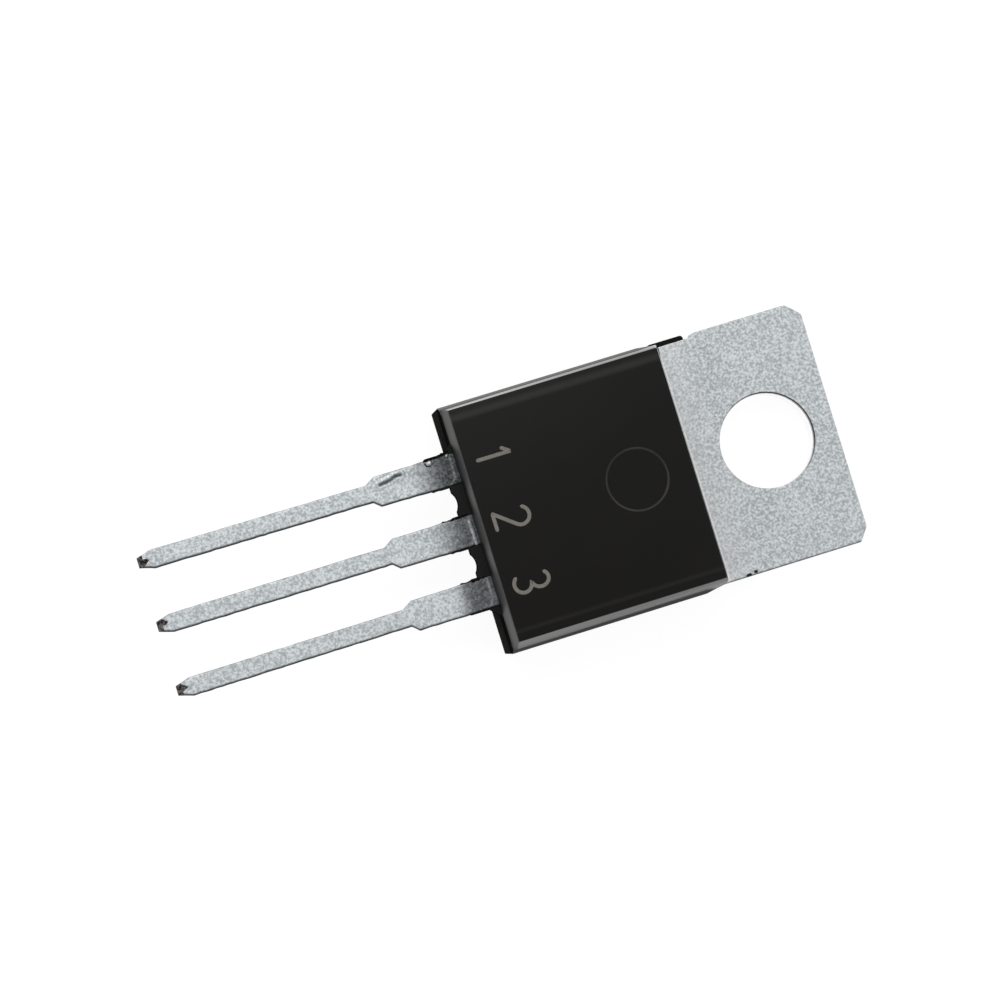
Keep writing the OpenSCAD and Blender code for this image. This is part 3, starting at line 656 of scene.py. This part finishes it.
def lead_outside(name, side, tear, bleed, across, dented):
    """The outer part of a lead: a rounded rectangle swept from inside the body to the sheared tip.

    The centre line leaves the grid by SPREAD over the whole length, the sides are half_widths away
    from it, and the top is as low as tip_height. What the cutter took is bare copper. Two attributes
    carry the painted shade on the stamped edges and in the dent's groove, and how much resin lies on the
    tin.
    """
    x = lead_stations(dented)
    seed = int(7 + side)
    far, near = half_widths(x, seed)
    out = np.clip(LEAD_WALL_X - x, 0, None)
    centre = side * PITCH + side * SPREAD * out / LEAD_L
    w, c, v, s = section(across).T[:, None]
    roll = np.where(w < 0, ROLL_NEAR, ROLL_FAR) * (np.abs(w) == 1)
    reach = np.where(w < 0, near[:, None] - ROLL_NEAR, far[:, None] - ROLL_FAR)
    y = centre[:, None] + w * reach + roll * c
    along = x[:, None] + 0 * y
    z = np.where(np.abs(w) < 1, np.where(s > 0, LEAD_TOP, LEAD_LOW),
        LEAD_LOW + roll + (LEAD_TOP - LEAD_LOW - 2 * roll) * v + roll * s) + 0 * y
    cut = tip_height(x, along, y, centre[-1], tear, seed)
    bare = z > cut + BARE_DEPTH
    z = np.minimum(z, cut)
    # Painted shade on the rolled corners, darkest on the near side, and on the near wall
    rolled = (v == 1) & (np.abs(w) == 1)
    corner = np.where(c < 0, np.clip(-NEAR_RISE * c, 0, NEAR_DARK), FAR_DARK * c)
    wall = np.where((v < 1) & (c < -0.9), WALL_DARK, 0)
    edge_shading = np.maximum(np.where(rolled, corner, 0), wall) + 0 * y
    if dented:
        pressed, dark = dented_top(along, y)
        on_top = v * s > 0.9
        z = z + np.where(on_top, pressed, 0)
        # The dent's groove gets painted shade
        edge_shading = np.maximum(edge_shading, dark)
    resin = resin_share(along, y, out, centre[:, None] - y, bleed)
    mesh = tube_mesh(name, [np.stack([along, y, z], axis=2)])
    for attribute, values in (("edge_shade", edge_shading), ("resin_bleed", resin)):
        data = mesh.attributes.new(attribute, "FLOAT", "POINT").data
        data.foreach_set("value", np.concatenate([values.ravel(), [0, 0]]).astype(np.float32))
    bare_faces(mesh, np.concatenate([bare.ravel(), [False, True]]))
    mesh.set_sharp_from_angle(angle=math.radians(ROUNDED_ANGLE))
    return mesh


def flat_bead(path, width, height, around=10, ragged=0.0, seed=1):
    """A low bead along a path on a surface.

    Each ring is an ellipse, half the width across and the height up, in the plane square to the
    path. Over the last half width at both ends the ellipse shrinks as the root of one less the
    square of the way gone, which rounds the ends off. ragged varies the size from ring to ring.
    """
    path = np.array(path, float)
    step = np.gradient(path, axis=0)
    along = step / np.linalg.norm(step, axis=1, keepdims=True)
    up = np.array([0.0, 0.0, 1.0])
    side = np.cross(up, along)
    way = np.concatenate([[0], np.cumsum(np.linalg.norm(np.diff(path, axis=0), axis=1))])
    from_end = np.minimum(way, way[-1] - way) / (width / 2)
    full = np.sqrt(1 - (1 - np.clip(from_end, 0.02, 1)) ** 2)
    full = full * (1 + ragged * np.random.default_rng(seed).uniform(-1, 1, len(path)))
    turn = np.linspace(0, 2 * math.pi, around, endpoint=False)[None, :, None]
    ring = side[:, None] * np.cos(turn) * width / 2 - up * np.sin(turn) * height
    return path[:, None] + ring * full[:, None, None]


def stroke(corners, steps=14):
    """Points along straight stretches through the corners, closer together near both ends."""
    corners = np.array(corners, float)
    parts = [a + (b - a) * ((1 - np.cos(np.linspace(0, math.pi, steps))) / 2)[:, None]
        for a, b in zip(corners[:-1], corners[1:])]
    points = np.concatenate(parts)
    return points[np.concatenate([[True], np.linalg.norm(np.diff(points, axis=0), axis=1) > 1e-6])]


def bow(x, y, rx, ry, start, end, steps=22):
    """Points of an arc of an ellipse from one angle to another, in degrees."""
    turn = np.radians(np.linspace(start, end, steps))
    return np.stack([x + rx * np.cos(turn), y + ry * np.sin(turn)], axis=1)


# Height, width, line and rise of the laser-marked pin numbers, and where they stand, in mm
DIGIT_H, DIGIT_W, DIGIT_LINE, DIGIT_RISE = 1.4, 0.72, 0.155, 0.006
DIGIT_X, DIGIT_PITCH = -11.2, 1.02 * PITCH


def digit_line(digit):
    """The line of a pin number in its own plane: across to the right, then up, from its middle."""
    w, h = DIGIT_W / 2, DIGIT_H / 2
    if digit == 1:
        return stroke([(-0.55 * w, 0.5 * h), (0.15 * w, h), (0.15 * w, -h)])
    if digit == 2:
        bowl = bow(0, h - w, w, w, 165, -38)
        return np.concatenate([bowl, stroke([bowl[-1], (-w, -h), (w, -h)])[1:]])
    upper = bow(0, h / 2, 0.86 * w, h / 2, 150, -90)
    lower = bow(0, -h / 2, w, h / 2, 90, -150)
    return np.concatenate([upper, lower[1:]])


def pin_numbers():
    """Plain pin numbers 1, 2 and 3 on the marked face, each in line with its lead."""
    tubes = []
    for digit, side in ((1, 1), (2, 0), (3, -1)):
        right, up = digit_line(digit).T
        path = [DIGIT_X + up, side * DIGIT_PITCH - right, np.full(len(up), FACE_TOP)]
        tubes.append(flat_bead(np.column_stack(path), DIGIT_LINE, DIGIT_RISE))
    return tube_mesh("pin_numbers", tubes)


# How high the rough places on the webs lie, in mm
WEB_Z = 2.72

# Beads, one a row: the route's corners, its height and the points on each stretch, then the bead's
# width and height in mm, the points round it, how ragged it is, and its seed
FLASH_BEADS = (
    # Threads along the leads' far edges by the body
    (((-12.66, 3.28), (-12.9, 3.25), (-13.2, 3.19), (-13.76, 3.155)), LEAD_TOP, 12, 0.09, 0.03, 8, 0.6, 3),
    (((-13.72, 3.1), (-13.66, 2.95), (-13.5, 2.93)), LEAD_TOP, 7, 0.05, 0.03, 8, 0.4, 11),
    (((-12.66, 0.66), (-13.1, 0.635), (-13.5, 0.63)), LEAD_TOP, 18, 0.07, 0.03, 8, 0.6, 4),
    (((-12.66, -1.9), (-13.3, -1.93)), LEAD_TOP, 18, 0.08, 0.03, 8, 0.6, 5),
    # Rough places on the webs between the leads
    (((-12.72, 0.75), (-12.76, 1.3), (-12.72, 1.85)), WEB_Z, 20, 0.08, 0.05, 8, 0.6, 7),
    (((-12.72, -1.8), (-12.78, -1.2), (-12.7, -0.7)), WEB_Z, 20, 0.08, 0.05, 8, 0.6, 8),
    # Specks of resin on the tab's near edge
    (((-2.44, -4.98), (-2.2, -4.96)), TAB_TOP, 11, 0.11, 0.04, 12, 0.25, 9),
    (((-2.1, -4.91), (-1.94, -4.92)), TAB_TOP, 9, 0.14, 0.05, 12, 0.25, 10))
TIN_BEADS = (
    # Lumps on the input lead and on the centre lead
    (((-13.67, 3.03), (-13.39, 3.05)), LEAD_TOP, 11, 0.2, 0.11, 16, 0.08, 1),
    (((-12.85, 3.11), (-12.69, 3.15)), LEAD_TOP, 9, 0.15, 0.08, 14, 0.1, 2),
    (((-13.53, 0.56), (-13.42, 0.59)), LEAD_TOP, 7, 0.1, 0.04, 12, 0.12, 3),
    # The ridge along the root of the centre lead
    (((-12.69, 0.43), (-12.65, 0.0), (-12.65, -0.6)), LEAD_TOP, 18, 0.17, 0.025, 12, 0.1, 4))


def beads(name, rows):
    """One mesh of the beads that the rows of a table give."""
    tubes = []
    for corners, z, steps, *form in rows:
        flat = stroke(corners, steps)
        tubes.append(flat_bead(np.column_stack([flat, np.full(len(flat), z)]), *form))
    return tube_mesh(name, tubes)


# Where the stain on the lumps of tin starts and is at its fullest, in mm, and how full that is
LUMP_CLEAN_X, LUMP_STAINED_X, LUMP_STAIN = -13.3, -12.9, 0.4


def tin_nodules():
    """Lumps and ridges of tin that the plating left by the body, stained like the leads under them."""
    mesh = beads("tin_nodules", TIN_BEADS)
    points = np.empty((len(mesh.vertices), 3), dtype=np.float32)
    mesh.vertices.foreach_get("co", points.ravel())
    stained = np.interp(points[:, 0], [LUMP_CLEAN_X * MM, LUMP_STAINED_X * MM], [0.0, LUMP_STAIN])
    mesh.attributes.new("resin_bleed", "FLOAT", "POINT").data.foreach_set("value", stained)
    return mesh


# The part

torn = dull_compound()
tin = tin_plate()
metals = [tin, sheared_copper()]
dressed_copy("moulded_body_dressed", "moulded_body", [moulding_compound(), torn],
    BODY_ROUND, body_edge, torn_or_smooth)
# For each lead: its side, how far the tear is off its middle, its resin, the points across its top
# and whether it is dented
for name, node, outer_name, *form in (
        ("tab_dressed", "tab_with_ground_lead", "ground_lead_outside", 0, 0.1, (1.85, 0.3, 0.8), 33, False),
        ("input_lead_dressed", "input_lead", "input_lead_outside", 1, -0.03, (2.1, 0.3, 0.9), 61, True),
        ("output_lead_dressed", "output_lead", "output_lead_outside", -1, 0.04, (1.6, 0.8, 0.77), 33,
            False)):
    dressed_copy(name, node, metals, METAL_ROUND, metal_edge,
        outer=lead_outside(outer_name, *form))
new_piece("pin_numbers", pin_numbers(), laser_mark())
new_piece("moulding_flash", beads("moulding_flash", FLASH_BEADS), torn)
new_piece("tin_nodules", tin_nodules(), tin)

silicon = inner_material("silicon_polished", "#3f4650", "#6a7380", 0.4, 0.3, 0.2)
solder = inner_material("lead_tin_solder_reflowed", "#7d8183", "#a4a7a9", 0.15, 1.0, 0.45)
wire = inner_material("aluminium_wire_drawn", "#c6c7c4", "#dedfdc", 0.1, 1.0, 0.3)
for node, material in (("silicon_die", silicon), ("die_attach_solder", solder),
        ("input_bond_wire", wire), ("output_bond_wire", wire), ("sense_bond_wire", wire),
        ("ground_bond_wire", wire)):
    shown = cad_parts[node]
    shown.data.materials.clear()
    shown.data.materials.append(material)

# Floor, light and camera: sizes in mm, the floor's white and the world's strength on the part
FLOOR_REACH, FLOOR_GAP, FLOOR_WHITE = 400, 0.01, 0.92
WORLD_STRENGTH = 0.48
BODY_MIDDLE = (-10, 0, 0)


def floor():
    """A white floor that keeps the part's shadow and shows white to the camera and in reflections."""
    mesh = bpy.data.meshes.new("floor")
    reach = FLOOR_REACH * MM
    mesh.from_pydata([(-reach, -reach, 0), (reach, -reach, 0), (reach, reach, 0), (-reach, reach, 0)],
        [], [(0, 1, 2, 3)])
    material = bpy.data.materials.new("white_paper_floor")
    material.use_nodes = True
    tree = material.node_tree
    rays = add(tree, "ShaderNodeLightPath").outputs
    seen = add(tree, "ShaderNodeMath", {0: rays["Is Camera Ray"], 1: rays["Is Glossy Ray"]},
        operation="MAXIMUM")
    shown = add(tree, "ShaderNodeMath", {0: seen.outputs[0], 1: rays["Is Transmission Ray"]},
        operation="MAXIMUM")
    lift = add(tree, "ShaderNodeMath", {0: shown.outputs[0], 1: FLOOR_WHITE}, operation="MULTIPLY")
    feed(tree, tree.nodes["Principled BSDF"], {"Base Color": linear("#5e5e5e"), "Roughness": 0.9,
        "Emission Color": linear("#ffffff"), "Emission Strength": lift.outputs[0]})
    mesh.materials.append(material)
    made = show("floor", mesh)
    made.location.z = -FLOOR_GAP * MM


def soft_lamp(name, place, target, size, strength):
    """A square area lamp at a place, facing a target, in mm; strength is its radiance."""
    lamp = bpy.data.lights.new(name, "AREA")
    lamp.shape = "SQUARE"
    lamp.size = size * MM
    lamp.energy = strength * (size * MM) ** 2 * math.pi
    made = show(name, lamp)
    made.location = Vector(place) * MM
    way = Vector(target) - Vector(place)
    made.rotation_euler = way.to_track_quat("-Z", "Y").to_euler()


def studio_world():
    """Even grey surroundings, which only the camera sees as white."""
    world = bpy.data.worlds.new("studio")
    bpy.context.scene.world = world
    world.use_nodes = True
    tree = world.node_tree
    rays = add(tree, "ShaderNodeLightPath").outputs
    level = add(tree, "ShaderNodeMapRange", {"Value": rays["Is Camera Ray"], "To Min": WORLD_STRENGTH,
        "To Max": 1.0})
    feed(tree, tree.nodes["Background"], {"Color": linear("#ffffff"), "Strength": level.outputs[0]})


floor()
studio_world()
soft_lamp("key", (-20, 120, 170), BODY_MIDDLE, 160, 2.35)
soft_lamp("fill", (-170, -40, 120), BODY_MIDDLE, 140, 1.3)
soft_lamp("rim", (120, -60, 140), BODY_MIDDLE, 120, 1.1)

# The photograph's view: places in mm, and the camera's right, up and back directions
CAMERA_PLACE = (-28.33, -1.748, 153.689)
CAMERA_RIGHT = (0.9501, -0.2947, 0.1025)
CAMERA_UP = (0.2910, 0.9554, 0.0493)
CAMERA_BACK = (-0.1124, -0.0170, 0.9935)
lens = bpy.data.cameras.new("camera")
lens.lens = 137.9
lens.sensor_width = 36
lens.clip_start = 1 * MM
camera = show("camera", lens)
turn = Matrix([CAMERA_RIGHT, CAMERA_UP, CAMERA_BACK]).transposed().to_4x4()
camera.matrix_world = Matrix.Translation([c * MM for c in CAMERA_PLACE]) @ turn
bpy.context.scene.camera = camera
bpy.context.scene.view_settings.view_transform = "Standard"
